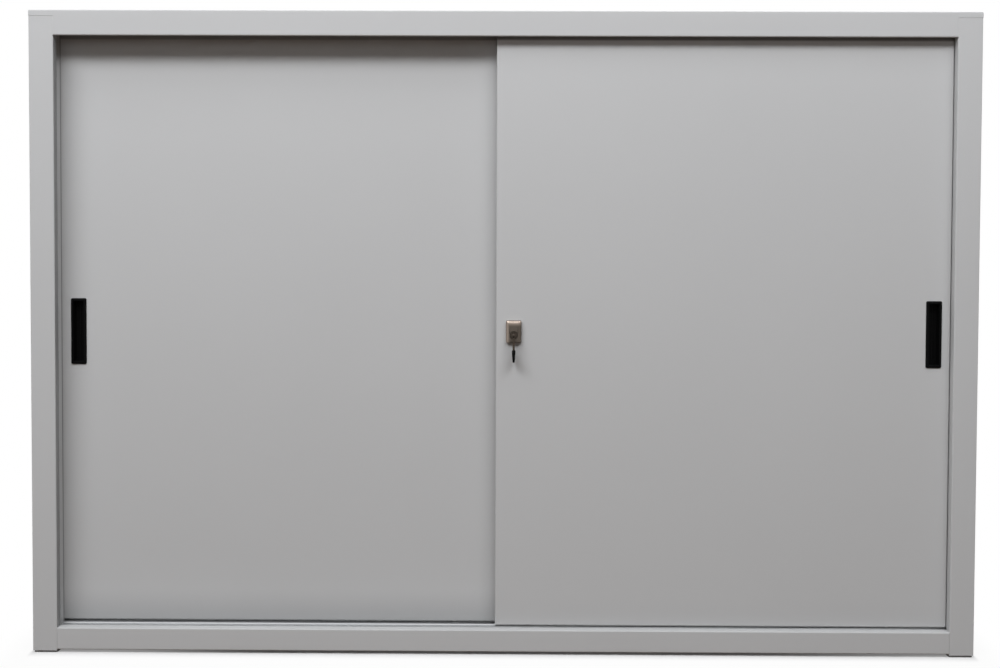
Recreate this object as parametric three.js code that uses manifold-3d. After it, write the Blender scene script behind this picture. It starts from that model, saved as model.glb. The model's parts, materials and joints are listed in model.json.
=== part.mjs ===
// A steel office cabinet with two sliding doors, in millimetres. X runs to the right, Y to the
// back and Z up. The origin is on the floor, under the middle of the carcass.

import * as THREE from "three";
import { mergeVertices } from "three/addons/utils/BufferGeometryUtils.js";
import Module from "manifold-3d";

const wasm = await Module();
wasm.setup();

// Overall size of the carcass
const width = 1500;
const depth = 450;
const height = 1020;

// Sheet steel, its folds and the fits between pieces
const sheet = 1; // thickness of carcass and doors
const bendRadius = 1; // inside every fold
const seatGap = 0.3; // between two pieces that touch
const overrun = 2; // how far a cut runs past its piece
const bendSteps = 3; // flats in a fold
const roundSides = 20; // sides of a round piece

// Lid, posts, bottom rail and feet
const lidSkirt = 9.5; // turned down all round, over the posts
const fasciaHeight = 40; // of the lid's front, between the posts
const fasciaReturn = 15;
const fasciaLip = 8;
const postWidth = 39; // from the side to the opening
const postLip = 14; // closes the post behind the front door's lane
const lipClearance = 0.7; // between that lip and the rear door
const rearFlange = 20;
const railRaise = 6; // underside of the bottom rail
const railHeight = 34;
const railReturn = 15;
const railLip = 8;
const trayFlange = 15; // turned down at the sides and back of the floor
const footHeight = 3;
const footInset = 0.5;
const footPlug = 12; // part of the foot inside the post
const footWall = 2;

// Back panels, each with pressed stiffening beads
const backInset = 1; // from the side panel's face
const backSeam = 0.8; // between the two panels
const beadWidth = 16;
const beadDepth = 3;
const beadMargin = 70; // from a bead's end to the panel's edge
const beadCount = 3;

// Middle partition, slotted uprights, shelves and their clips
const partitionClearance = 5; // behind the rear door
const stileWidth = 24;
const stileDepth = 14;
const partitionFlange = 20;
const uprightCrown = 26;
const uprightRise = 12;
const uprightFlange = 10;
const uprightFront = 30; // from the partition's front edge to the front slots
const uprightBack = 33; // from the back panel to the rear slots
const slotStart = 25; // from the floor to the lowest slot
const slotPitch = 50;
const slotWidth = 16;
const slotHeight = 5;
const shelfHeight = 25;
const shelfLip = 12;
const shelfPlay = 1.5;
const shelfSlots = [6, 13]; // the slots that carry a shelf, counted from the lowest
const clipSheet = 1.5;
const clipPlay = 1; // beside a clip in its slot
const clipLedge = 14;
const clipHook = 9;
const clipNose = 7;

// Doors: two folded pans in two lanes
const doorSetback = 17; // from the front of the cabinet to the front door
const doorThickness = 18;
const doorGap = 6; // between the doors
const doorRaise = 4; // above the floor
const doorTuck = 10; // behind the fascia
const doorOverlap = 24; // of one door over the other
const frontDoorGap = 3; // beside the right post
const rearDoorTuck = 5; // behind the left post
const doorLip = 14;
const stiffenerCrown = 40;
const stiffenerFlange = 12;
const stiffenerRise = 11;

// Wheels on the lower track, and the brackets that hold them in the doors
const wheelTread = 11; // radius where it runs on the rib
const wheelRim = 1.3; // height of the rims beside the rib
const wheelWidth = 7;
const wheelPlay = 0.6;
const grooveFlare = 0.5;
const axleRadius = 3;
const axlePlay = 0.3;
const axleProud = 0.6;
const axleSides = 12;
const rollerInset = 90; // from the door's edge to the axle
const bracketSheet = 1.5;
const bracketLength = 30;
const bracketFoot = 70;
const bracketHead = 3; // above the wheel
const rivetRadius = 3;
const rivetHead = 1.2;

// Lower track, upper track and its stops, and the doors' top guides
const trackBase = 1;
const trackFoot = 8;
const ribWidth = 2.6;
const ribTop = 1.4;
const ribHeight = 2;
const ribPlay = 0.4;
const trackWall = 1.5;
const trackChannel = 11;
const trackDrop = 16;
const stopLength = 15;
const stopDrop = 11;
const stopGap = 0.5;
const guideInset = 60;
const guideLength = 30;
const guidePlay = 0.5;
const guideBase = 3;
const guideMargin = 3; // from the guide's foot to the door's faces
const guideEase = 2;
const liftRoom = 5; // above the guide, so that a door can be lifted out

// Flush handles
const handleInset = 24.6; // from the opening's edge
const handleRaise = 510;
const handleWidth = 25;
const handleLength = 108;
const handleDepth = 13.5;
const handleBezel = 4.5;
const bezelThickness = 1.2;
const cupWall = 1.2;
const cornerRadius = 2.5;
const snapRib = 0.8;
const handleClear = 6; // from the rear handle to the front door, with the rear door open

// Lock in the front door
const lockInset = 28.4; // from the door's edge
const lockWidth = 25;
const lockBelow = 15; // from the plug's middle to the head's lower edge
const lockAbove = 23.5;
const lockProud = 8;
const lockEase = 3;
const barrelRadius = 9;
const barrelPlay = 0.5;
const plugRadius = 6;
const plugPlay = 0.3;
const plugProud = 0.6;
const nutAcross = 26;
const nutThickness = 4;
const nutSides = 6;
const shankSize = 6;
const camClearance = 0.8; // behind the front door
const camThickness = 1.5;
const camLength = 24;
const camWidth = 14;
const camTip = 10;
const keeperPlay = 1;
const keeperWidth = 5;
const keeperHeight = 11.5;
const keeperClearance = 1.3;
const keeperFoot = 16;
const keeperSheet = 1.2;

// Folding key
const bladeThickness = 1.6;
const bladeHeight = 7;
const bladeInside = 16; // in the plug
const bladeNotch = 1.6;
const bladeNotchCount = 3;
const keyPlay = 0.3;
const pinRadius = 1.2;
const pinReach = 5; // from the plug to the fold
const forkSheet = 0.7;
const forkLength = 27.5;
const gripLength = 20;
const gripWidth = 18;
const gripThickness = 6;
const gripEase = 0.8;
const gripCorner = 5;
const gripOverlap = 4; // of the grip over the fork
const eyeletRadius = 2.5;
const eyeletInset = 6;

// Planes and edges that pieces share
const frontY = -depth / 2;
const backY = depth / 2;
const shellFrontY = frontY + sheet + seatGap;
const shellBackY = backY - sheet - seatGap;
const liningBackY = shellBackY - sheet - seatGap;
const sideX = width / 2 - sheet - seatGap;
const wallX = sideX - sheet;
const openingX = width / 2 - postWidth;
const floorZ = railRaise + railHeight;
const fasciaZ = height - fasciaHeight;
const lidUnderZ = height - sheet;
const shellTopZ = lidUnderZ - bendRadius - seatGap;
const frontLaneY = frontY + doorSetback + doorThickness / 2;
const rearLaneY = frontLaneY + doorThickness + doorGap;
const postBackY = rearLaneY - doorThickness / 2 - lipClearance;

const partitionFrontY = rearLaneY + doorThickness / 2 + partitionClearance;
const crownX = wallX - seatGap - uprightRise;
const slotColumns = [partitionFrontY + uprightFront, liningBackY - uprightBack];
const slotCount = Math.floor((lidUnderZ - floorZ - slotStart) / slotPitch);
const slotLowZ = (index) => floorZ + slotStart + index * slotPitch;

const doorBottomZ = floorZ + doorRaise;
const doorHeight = fasciaZ + doorTuck - doorBottomZ;
const frontDoorLeft = -doorOverlap / 2;
const frontDoorRight = openingX - frontDoorGap;
const rearDoorLeft = -openingX - rearDoorTuck;
const rearDoorRight = doorOverlap / 2;
const frontTravel = frontDoorRight - doorOverlap / 2;
const handleX = openingX - handleInset;
const rearTravel = handleX - handleWidth / 2 - doorOverlap / 2 - handleClear;

const ribTopZ = floorZ + seatGap + trackBase + ribHeight;
const axleZ = ribTopZ + seatGap + wheelTread;
const axleRise = axleZ - doorBottomZ;
const wheelRadius = wheelTread + wheelRim;
const trackTopZ = lidUnderZ - seatGap;
const channelRoofZ = trackTopZ - trackWall;
const guideTopZ = channelRoofZ - liftRoom;
const trackX = openingX - seatGap;

const lockX = frontDoorLeft + lockInset;
const skinY = -doorThickness / 2; // a door's face, from the middle of its thickness
const lockFrontY = skinY - seatGap - lockProud;
const plugFrontY = lockFrontY - plugProud;
const pinY = plugFrontY - pinReach;
const camFrontY = doorThickness / 2 + camClearance;

// Directions that a profile's two axes and its length take, for a length along X, Y or Z.
const PROFILE_AXES = {
  x: [[0, 1, 0], [0, 0, 1], [1, 0, 0]],
  y: [[1, 0, 0], [0, 0, 1], [0, -1, 0]],
  z: [[1, 0, 0], [0, 1, 0], [0, 0, 1]],
};

// Turns a closed geometry into a solid that can be joined and cut.
function solidOf(geometry) {
  const bare = geometry.index ? geometry.toNonIndexed() : geometry.clone();
  bare.deleteAttribute("normal");
  bare.deleteAttribute("uv");
  const merged = mergeVertices(bare);
  const corners = merged.index.array;
  const triangles = [];
  for (let i = 0; i < corners.length; i += 3) {
    const [a, b, c] = corners.slice(i, i + 3);
    if (a !== b && b !== c && c !== a) triangles.push(a, b, c);
  }
  return new wasm.Manifold(new wasm.Mesh({
    numProp: 3,
    vertProperties: new Float32Array(merged.attributes.position.array),
    triVerts: new Uint32Array(triangles),
  }));
}

// Turns a solid back into a geometry.
function geometryOf(body) {
  const mesh = body.getMesh();
  const geometry = new THREE.BufferGeometry();
  geometry.setAttribute("position", new THREE.BufferAttribute(mesh.vertProperties, 3));
  geometry.setIndex(new THREE.BufferAttribute(mesh.triVerts, 1));
  geometry.computeVertexNormals();
  return geometry;
}

// The same solid on the other side of X = 0.
function mirrored(body) {
  const geometry = geometryOf(body);
  geometry.scale(-1, 1, 1);
  const corners = geometry.index.array;
  for (let i = 0; i < corners.length; i += 3) {
    [corners[i], corners[i + 1]] = [corners[i + 1], corners[i]];
  }
  return solidOf(geometry);
}

function joined(bodies) {
  return bodies.reduce((whole, body) => whole.add(body));
}

function cut(body, tools) {
  return tools.reduce((rest, tool) => rest.subtract(tool), body);
}

// Extrudes an outline from one place on an axis to another. Outlines are in the plane of the
// other two axes, as [y, z] along X, [x, z] along Y and [x, y] along Z.
function prism(outline, axis, from, to, bevel = 0) {
  const shape = new THREE.Shape(outline.map(([u, v]) => new THREE.Vector2(u, v)));
  const geometry = new THREE.ExtrudeGeometry(shape, {
    depth: to - from - 2 * bevel,
    bevelEnabled: bevel > 0,
    bevelThickness: bevel,
    bevelSize: bevel,
    bevelOffset: -bevel,
    bevelSegments: 1,
  });
  const [u, v, w] = PROFILE_AXES[axis].map((direction) => new THREE.Vector3(...direction));
  geometry.translate(0, 0, bevel);
  geometry.applyMatrix4(new THREE.Matrix4().makeBasis(u, v, w));
  geometry.translate(...w.multiplyScalar(axis === "y" ? -to : from).toArray());
  return solidOf(geometry);
}

function arc(u, v, radius, start, end, steps = bendSteps) {
  return Array.from({ length: steps + 1 }, (_, i) => {
    const angle = start + ((end - start) * i) / steps;
    return [u + radius * Math.cos(angle), v + radius * Math.sin(angle)];
  });
}

function circle(u, v, radius, sides = roundSides) {
  return arc(u, v, radius, 0, 2 * Math.PI, sides).slice(0, sides);
}

// A rectangle's outline, with a radius for each corner: low left, low right, high right, high left.
function rectangle([u0, v0], [u1, v1], radii = [0, 0, 0, 0]) {
  const corners = [[u0, v0, 1, 1], [u1, v0, -1, 1], [u1, v1, -1, -1], [u0, v1, 1, -1]];
  return corners.flatMap(([u, v, inU, inV], i) => {
    if (radii[i] === 0) return [[u, v]];
    const start = Math.PI + (i * Math.PI) / 2;
    return arc(u + inU * radii[i], v + inV * radii[i], radii[i], start, start + Math.PI / 2);
  });
}

function rounded(low, high, radius) {
  return rectangle(low, high, [radius, radius, radius, radius]);
}

function block(low, high) {
  return prism(rectangle([low[0], low[1]], [high[0], high[1]]), "z", low[2], high[2]);
}

// Outline of a folded sheet. The path runs down the middle of the sheet, and each of its
// corners becomes a bend with the sheet's inside radius.
function foldedOutline(path, thickness) {
  const points = path.map(([u, v]) => new THREE.Vector2(u, v));
  const sides = [[], []];
  const put = (point, normal) => {
    sides[0].push(point.clone().addScaledVector(normal, thickness / 2));
    sides[1].push(point.clone().addScaledVector(normal, -thickness / 2));
  };
  const normalOf = (i) => {
    const along = points[i + 1].clone().sub(points[i]).normalize();
    return new THREE.Vector2(-along.y, along.x);
  };
  put(points[0], normalOf(0));
  for (let i = 1; i < points.length - 1; i += 1) {
    const before = normalOf(i - 1);
    const after = normalOf(i);
    const turn = Math.asin(before.cross(after));
    const reach = Math.sign(turn) * (bendRadius + thickness / 2);
    const middle = before.clone().add(after).multiplyScalar(reach / (1 + before.dot(after)));
    const centre = points[i].clone().add(middle);
    for (let step = 0; step <= bendSteps; step += 1) {
      const normal = before.clone().rotateAround(new THREE.Vector2(), (turn * step) / bendSteps);
      put(centre.clone().addScaledVector(normal, -reach), normal);
    }
  }
  put(points.at(-1), normalOf(points.length - 2));
  return [...sides[0], ...sides[1].reverse()].map((point) => point.toArray());
}

function foldedSheet(path, thickness, axis, from, to) {
  return prism(foldedOutline(path, thickness), axis, from, to);
}

// A block whose edges round one face are rounded, as folds leave them. The face is "front",
// at low Y, or "top", at high Z.
function easedBlock(low, high, radius, face) {
  const [x0, y0, z0] = low;
  const [x1, y1, z1] = high;
  const across = face === "front"
    ? prism(rectangle([x0, y0], [x1, y1], [radius, radius, 0, 0]), "z", z0, z1)
    : prism(rectangle([x0, z0], [x1, z1], [0, 0, radius, radius]), "y", y0, y1);
  const along = face === "front"
    ? prism(rectangle([y0, z0], [y1, z1], [radius, 0, 0, radius]), "x", x0, x1)
    : prism(rectangle([y0, z0], [y1, z1], [0, 0, radius, radius]), "x", x0, x1);
  return across.intersect(along);
}

// A pan folded from one sheet: a face, four returns and, on each return, a lip turned inwards.
function pan(low, high, lip, face) {
  const open = lip === 0 ? -overrun : sheet;
  const [behind, below] = face === "front" ? [open, sheet] : [sheet, open];
  const inner = easedBlock(
    [low[0] + sheet, low[1] + sheet, low[2] + below],
    [high[0] - sheet, high[1] - behind, high[2] - sheet],
    bendRadius,
    face,
  );
  const shell = easedBlock(low, high, bendRadius + sheet, face).subtract(inner);
  if (lip === 0) return shell;
  const [lipY, lipZ] = face === "front" ? [-sheet, lip] : [lip, -sheet];
  const windowLow = face === "front"
    ? [low[0] + lip, high[1] - sheet - seatGap, low[2] + lipZ]
    : [low[0] + lip, low[1] + lipY, low[2] - overrun];
  const windowHigh = face === "front"
    ? [high[0] - lip, high[1] + overrun, high[2] - lipZ]
    : [high[0] - lip, high[1] - lipY, low[2] + sheet + seatGap];
  return shell.subtract(block(windowLow, windowHigh));
}

// A closed solid through a stack of rings with the same number of points, its ends flat.
function loft(rings) {
  const count = rings[0].length;
  const triangles = [];
  for (let r = 0; r < rings.length - 1; r += 1) {
    for (let i = 0; i < count; i += 1) {
      const a = r * count + i;
      const b = r * count + ((i + 1) % count);
      triangles.push(a, b, b + count, a, b + count, a + count);
    }
  }
  const last = (rings.length - 1) * count;
  for (let i = 1; i < count - 1; i += 1) {
    triangles.push(0, i + 1, i, last, last + i, last + i + 1);
  }
  const geometry = new THREE.BufferGeometry();
  geometry.setAttribute("position", new THREE.Float32BufferAttribute(rings.flat(2), 3));
  geometry.setIndex(triangles);
  return solidOf(geometry);
}

// Lid with its skirts, and the deeper fascia that fills the front between the posts.
function makeTopPanel() {
  const lid = pan([-width / 2, frontY, height - lidSkirt], [width / 2, backY, height], 0, "top");
  const faceY = frontY + sheet / 2;
  const returnY = frontY + fasciaReturn - sheet / 2;
  const fascia = foldedSheet([
    [faceY, height - lidSkirt / 2],
    [faceY, fasciaZ + sheet / 2],
    [returnY, fasciaZ + sheet / 2],
    [returnY, fasciaZ + fasciaLip],
  ], sheet, "x", -trackX, trackX);
  return lid.add(fascia);
}

// Right side panel: side, post with its closing lip, and rear flange, folded from one sheet.
function makeSidePanel() {
  const postX = openingX + sheet / 2;
  const outerX = sideX - sheet / 2;
  return foldedSheet([
    [openingX + postLip, postBackY - sheet / 2],
    [postX, postBackY - sheet / 2],
    [postX, shellFrontY + sheet / 2],
    [outerX, shellFrontY + sheet / 2],
    [outerX, liningBackY - sheet / 2],
    [sideX - rearFlange, liningBackY - sheet / 2],
  ], sheet, "z", footHeight + seatGap, shellTopZ);
}

// Floor and bottom rail, folded from one sheet and notched round the posts.
function makeBottomPanel() {
  const trayX = wallX - seatGap;
  const backEdge = liningBackY - sheet - seatGap;
  const railY = shellFrontY + sheet / 2;
  const lipY = shellFrontY + railReturn - sheet / 2;
  const tray = foldedSheet([
    [lipY, railRaise + railLip],
    [lipY, railRaise + sheet / 2],
    [railY, railRaise + sheet / 2],
    [railY, floorZ - sheet / 2],
    [backEdge - sheet / 2, floorZ - sheet / 2],
    [backEdge - sheet / 2, floorZ - trayFlange],
  ], sheet, "x", -trayX, trayX);
  const notchY = postBackY + seatGap;
  const flange = block([trayX - sheet, notchY, floorZ - trayFlange], [trayX, backEdge, floorZ - sheet / 2]);
  const notch = block([trackX, frontY, 0], [trayX + overrun, notchY, floorZ + overrun]);
  return cut(tray, [notch, mirrored(notch)]).add(flange).add(mirrored(flange));
}

// Pressed bead in a back panel: the form of its outer side, or of its inner side at less depth.
function beadForm(x, lowZ, highZ, faceY, inset) {
  const ring = (shrink, y) => [
    [x + beadWidth / 2 - shrink, y, lowZ + shrink],
    [x - beadWidth / 2 + shrink, y, lowZ + shrink],
    [x - beadWidth / 2 + shrink, y, highZ - shrink],
    [x + beadWidth / 2 - shrink, y, highZ - shrink],
  ];
  return loft([ring(beadDepth + inset, faceY - beadDepth), ring(inset, faceY)]);
}

// Right back panel, with its beads pressed towards the inside.
function makeBackPanel() {
  const left = backSeam / 2;
  const right = sideX - backInset;
  const innerY = shellBackY - sheet;
  const beadLow = floorZ + beadMargin;
  const beadHigh = shellTopZ - beadMargin;
  const places = Array.from({ length: beadCount }, (_, i) => (
    left + ((right - left) * (i + 1)) / (beadCount + 1)
  ));
  const skin = block([left, innerY, railRaise], [right, shellBackY, shellTopZ]);
  const raised = places.map((x) => beadForm(x, beadLow, beadHigh, innerY + sheet / 2, 0));
  const hollows = places.map((x) => beadForm(x, beadLow, beadHigh, shellBackY + sheet / 2, sheet));
  return cut(joined([skin, ...raised]), hollows);
}

function slotCutters(x, columnY) {
  return Array.from({ length: slotCount }, (_, i) => block(
    [x - overrun, columnY - slotWidth / 2, slotLowZ(i)],
    [x + overrun, columnY + slotWidth / 2, slotLowZ(i) + slotHeight],
  ));
}

// Middle partition: two folded sheets back to back, with slots for the shelf clips.
function makePartition() {
  const half = foldedSheet([
    [stileWidth / 2 - sheet / 2, partitionFrontY + stileDepth],
    [stileWidth / 2 - sheet / 2, partitionFrontY + sheet / 2],
    [sheet / 2, partitionFrontY + sheet / 2],
    [sheet / 2, liningBackY - sheet / 2],
    [partitionFlange, liningBackY - sheet / 2],
  ], sheet, "z", floorZ + seatGap, trackTopZ);
  const slots = slotColumns.flatMap((y) => slotCutters(0, y));
  return cut(half.add(mirrored(half)), slots);
}

// Slotted hat-section upright on the right side wall.
function makeUpright(columnY) {
  const footX = wallX - seatGap - sheet / 2;
  const faceX = crownX + sheet / 2;
  const inner = uprightCrown / 2;
  const outer = inner + uprightFlange;
  const hat = foldedSheet([
    [footX, columnY - outer],
    [footX, columnY - inner],
    [faceX, columnY - inner],
    [faceX, columnY + inner],
    [footX, columnY + inner],
    [footX, columnY + outer],
  ], sheet, "z", floorZ + seatGap, trackTopZ);
  return cut(hat, slotCutters(faceX, columnY));
}

// Shelf of the right bay: an upturned pan that rests on four clips.
function makeShelf(slot) {
  const underZ = slotLowZ(slot) + 2 * seatGap + clipSheet;
  const frontEdge = partitionFrontY + stileDepth + shelfPlay;
  const backEdge = shellBackY - sheet - beadDepth - shelfPlay;
  return pan(
    [sheet + shelfPlay, frontEdge, underZ],
    [crownX - shelfPlay, backEdge, underZ + shelfHeight],
    shelfLip,
    "top",
  );
}

// Bent strip that carries a shelf, at one slot. The path is its side view, as [x, z].
function clipStrip(path, slot, columnY) {
  const halfWidth = slotWidth / 2 - clipPlay;
  const tongueZ = slotLowZ(slot) + seatGap + clipSheet / 2;
  const raised = path.map(([x, z]) => [x, z + tongueZ]);
  return foldedSheet(raised, clipSheet, "y", columnY - halfWidth, columnY + halfWidth);
}

// Clip on the right upright: it hooks up behind the crown and its ledge reaches under the shelf.
function makeWallClip(slot, columnY) {
  const hookX = crownX + sheet + seatGap + clipSheet / 2;
  const noseX = crownX - clipLedge;
  return clipStrip([[hookX, clipHook], [hookX, 0], [noseX, 0], [noseX, -clipNose]], slot, columnY);
}

// Clip through the partition: one ledge for each bay.
function makePartitionClip(slot, columnY) {
  const noseX = sheet + clipLedge;
  return clipStrip([[-noseX, -clipNose], [-noseX, 0], [noseX, 0], [noseX, -clipNose]], slot, columnY);
}

// Upper track: one strip rolled into two channels, with a stop at each end of each lane.
function makeTopTrack() {
  const wallY = trackChannel / 2 + trackWall / 2;
  const roof = trackTopZ - trackWall / 2;
  const lowZ = trackTopZ - trackDrop;
  const webZ = lowZ + trackWall / 2;
  const profile = foldedSheet([
    [frontLaneY - wallY, lowZ],
    [frontLaneY - wallY, roof],
    [frontLaneY + wallY, roof],
    [frontLaneY + wallY, webZ],
    [rearLaneY - wallY, webZ],
    [rearLaneY - wallY, roof],
    [rearLaneY + wallY, roof],
    [rearLaneY + wallY, lowZ],
  ], trackWall, "x", -trackX, trackX);
  const guideEdge = guideInset - guideLength / 2;
  const stop = (laneY, x) => block(
    [x - stopLength / 2, laneY - trackChannel / 2, channelRoofZ - stopDrop],
    [x + stopLength / 2, laneY + trackChannel / 2, channelRoofZ + trackWall / 2],
  );
  const reach = stopGap + stopLength / 2;
  return joined([
    profile,
    stop(frontLaneY, frontDoorRight - guideEdge + reach),
    stop(frontLaneY, frontDoorLeft + guideEdge - frontTravel - reach),
    stop(rearLaneY, rearDoorLeft + guideEdge - reach),
    stop(rearLaneY, rearDoorRight - guideEdge + rearTravel + reach),
  ]);
}

// Lower track: an extruded strip with a rib for the wheels of each door.
function makeBottomTrack() {
  const lowZ = floorZ + seatGap;
  const baseZ = lowZ + trackBase;
  const rib = (laneY) => [
    [laneY + ribWidth / 2, baseZ],
    [laneY + ribTop / 2, ribTopZ],
    [laneY - ribTop / 2, ribTopZ],
    [laneY - ribWidth / 2, baseZ],
  ];
  const outline = [
    [frontLaneY - trackFoot, lowZ],
    [rearLaneY + trackFoot, lowZ],
    [rearLaneY + trackFoot, baseZ],
    ...rib(rearLaneY),
    ...rib(frontLaneY),
    [frontLaneY - trackFoot, baseZ],
  ];
  return prism(outline, "x", -trackX, trackX);
}

// Plastic foot at the right: a base under the post's edge and a hollow plug inside the post.
function makeFoot(lowY, highY) {
  const outline = (left, right, inset) => rounded(
    [left + inset, lowY + inset],
    [right - inset, highY - inset],
    bendRadius + sheet,
  );
  const base = prism(outline(openingX, sideX, footInset), "z", 0, footHeight);
  const plugTop = footHeight + footPlug;
  const plugInset = sheet + seatGap;
  const plug = prism(outline(openingX, sideX, plugInset), "z", footHeight / 2, plugTop);
  const hollow = prism(outline(openingX, sideX, plugInset + footWall), "z", footHeight, plugTop + overrun);
  return base.add(plug).subtract(hollow);
}

// A door's panel. Its own frame has X from its middle, Y from the middle of its thickness and Z
// from its lower edge.
function makeDoorPanel(doorWidth, handleAt, lockAt) {
  const half = doorWidth / 2;
  const shell = pan([-half, skinY, 0], [half, -skinY, doorHeight], doorLip, "front");
  const handleZ = handleRaise - doorBottomZ;
  const cupX = handleWidth / 2 - handleBezel + cupWall + seatGap;
  const cupZ = handleLength / 2 - handleBezel + cupWall + seatGap;
  const cuts = [prism(rounded(
    [handleAt - cupX, handleZ - cupZ],
    [handleAt + cupX, handleZ + cupZ],
    cornerRadius,
  ), "y", skinY - overrun, skinY + sheet + overrun)];
  const slotX = wheelRadius + wheelPlay;
  const slotY = wheelWidth / 2 + wheelPlay;
  for (const x of rollerPlaces(doorWidth)) {
    cuts.push(block([x - slotX, -slotY, -overrun], [x + slotX, slotY, sheet + seatGap]));
  }
  if (lockAt !== null) {
    const hole = circle(lockAt, handleZ, barrelRadius + barrelPlay);
    cuts.push(prism(hole, "y", skinY - overrun, skinY + sheet + overrun));
  }
  return cut(shell, cuts);
}

function rollerPlaces(doorWidth) {
  return [rollerInset - doorWidth / 2, doorWidth / 2 - rollerInset];
}

function guidePlaces(doorWidth) {
  return [guideInset - doorWidth / 2, doorWidth / 2 - guideInset];
}

// Hat-section stiffener down the middle of a door, on the back of its skin.
function makeStiffener() {
  const footY = skinY + sheet + seatGap + sheet / 2;
  const crownY = footY + stiffenerRise;
  const inner = stiffenerCrown / 2;
  const outer = inner + stiffenerFlange;
  const endGap = sheet + bendRadius + seatGap;
  return foldedSheet([
    [-outer, footY],
    [-inner, footY],
    [-inner, crownY],
    [inner, crownY],
    [inner, footY],
    [outer, footY],
  ], sheet, "z", endGap, doorHeight - endGap);
}

// Wheel bracket, from the middle of its axle: a U over the wheel, a riveted foot and the axle.
function makeRollerBracket() {
  const innerY = wheelWidth / 2 + wheelPlay;
  const cheekY = innerY + bracketSheet / 2;
  const footZ = sheet + seatGap - axleRise;
  const topZ = wheelRadius + bracketHead;
  const cheeks = foldedSheet(
    [[-cheekY, footZ], [-cheekY, topZ], [cheekY, topZ], [cheekY, footZ]],
    bracketSheet, "x", -bracketLength / 2, bracketLength / 2,
  );
  const outerY = innerY + bracketSheet;
  const foot = block(
    [-bracketFoot / 2, -outerY, footZ],
    [bracketFoot / 2, outerY, footZ + bracketSheet],
  );
  const wheelSlot = wheelRadius + wheelPlay;
  const opening = block(
    [-wheelSlot, -innerY, footZ - overrun],
    [wheelSlot, innerY, footZ + bracketSheet + overrun],
  );
  const rivetX = (bracketFoot + bracketLength) / 4;
  const rivets = [-rivetX, rivetX].map((x) => prism(
    circle(x, 0, rivetRadius, axleSides),
    "z", footZ + bracketSheet / 2, footZ + bracketSheet + rivetHead,
  ));
  const axleEnd = outerY + axleProud;
  const axle = prism(circle(0, 0, axleRadius, axleSides), "y", -axleEnd, axleEnd);
  return joined([cheeks.add(foot).subtract(opening), ...rivets, axle]);
}

// Grooved wheel on its axle's middle, turned from one profile of [radius, distance].
function makeWheel() {
  const bore = axleRadius + axlePlay;
  const side = wheelWidth / 2;
  const grooveLow = ribWidth / 2 + ribPlay;
  const grooveHigh = grooveLow + grooveFlare;
  const profile = [
    [bore, -side],
    [wheelRadius, -side],
    [wheelRadius, -grooveHigh],
    [wheelTread, -grooveLow],
    [wheelTread, grooveLow],
    [wheelRadius, grooveHigh],
    [wheelRadius, side],
    [bore, side],
    [bore, -side],
  ].map(([radius, y]) => new THREE.Vector2(radius, y));
  return solidOf(new THREE.LatheGeometry(profile, roundSides));
}

// Nylon guide on a door's top edge, its blade in the upper track.
function makeTopGuide() {
  const lowZ = doorHeight + seatGap;
  const bladeY = trackChannel / 2 - guidePlay;
  const footY = doorThickness / 2 - guideMargin;
  const end = guideLength / 2;
  const foot = block([-end, -footY, lowZ], [end, footY, lowZ + guideBase]);
  const top = guideTopZ - doorBottomZ;
  const blade = prism(
    rectangle([-end, lowZ + guideBase / 2], [end, top], [0, 0, guideEase, guideEase]),
    "y", -bladeY, bladeY,
  );
  return foot.add(blade);
}

// Flush handle from its middle: a bezel in front of the door's skin and a cup behind it.
function makeHandle() {
  const bezelBack = skinY - seatGap;
  const front = bezelBack - bezelThickness;
  const back = front + handleDepth;
  const outline = (inset, radius) => rounded(
    [inset - handleWidth / 2, inset - handleLength / 2],
    [handleWidth / 2 - inset, handleLength / 2 - inset],
    radius,
  );
  const bezel = prism(outline(0, cornerRadius), "y", front, bezelBack);
  const cup = prism(outline(handleBezel - cupWall, cornerRadius), "y", front + bezelThickness / 2, back);
  const recess = prism(outline(handleBezel, cornerRadius), "y", front - overrun, back - cupWall);
  const snapY = skinY + sheet + seatGap;
  const snapEnd = handleLength / 2 - handleBezel + cupWall;
  const snap = (side) => {
    const root = side * (snapEnd - cupWall / 2);
    const tip = side * (snapEnd + snapRib);
    const snapX = handleWidth / 2 - handleBezel - cornerRadius;
    return loft([
      [[-snapX, snapY, root], [snapX, snapY, root], [snapX, snapY, tip], [-snapX, snapY, tip]],
      [[-snapX, back, root], [snapX, back, root],
        [snapX, back, side * snapEnd], [-snapX, back, side * snapEnd]],
    ].map((ring) => (side > 0 ? ring.reverse() : ring)));
  };
  return cut(joined([bezel, cup, snap(1), snap(-1)]), [recess]);
}

// Lock housing from the plug's axis: a raised block on the door and a barrel through it.
function makeLockHousing() {
  const back = skinY - seatGap;
  const face = easedBlock(
    [-lockWidth / 2, lockFrontY, -lockBelow],
    [lockWidth / 2, back, lockAbove],
    lockEase,
    "front",
  );
  const barrel = prism(circle(0, 0, barrelRadius), "y", back - lockProud / 2, -skinY - seatGap);
  const bore = prism(circle(0, 0, plugRadius + plugPlay), "y", lockFrontY - overrun, -skinY + overrun);
  return face.add(barrel).subtract(bore);
}

function makeLockNut() {
  const low = skinY + sheet + seatGap;
  const cornerReach = nutAcross / 2 / Math.cos(Math.PI / nutSides);
  const nut = prism(circle(0, 0, cornerReach, nutSides), "y", low, low + nutThickness);
  const hole = circle(0, 0, barrelRadius + plugPlay);
  return nut.subtract(prism(hole, "y", low - overrun, low + nutThickness + overrun));
}

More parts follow.
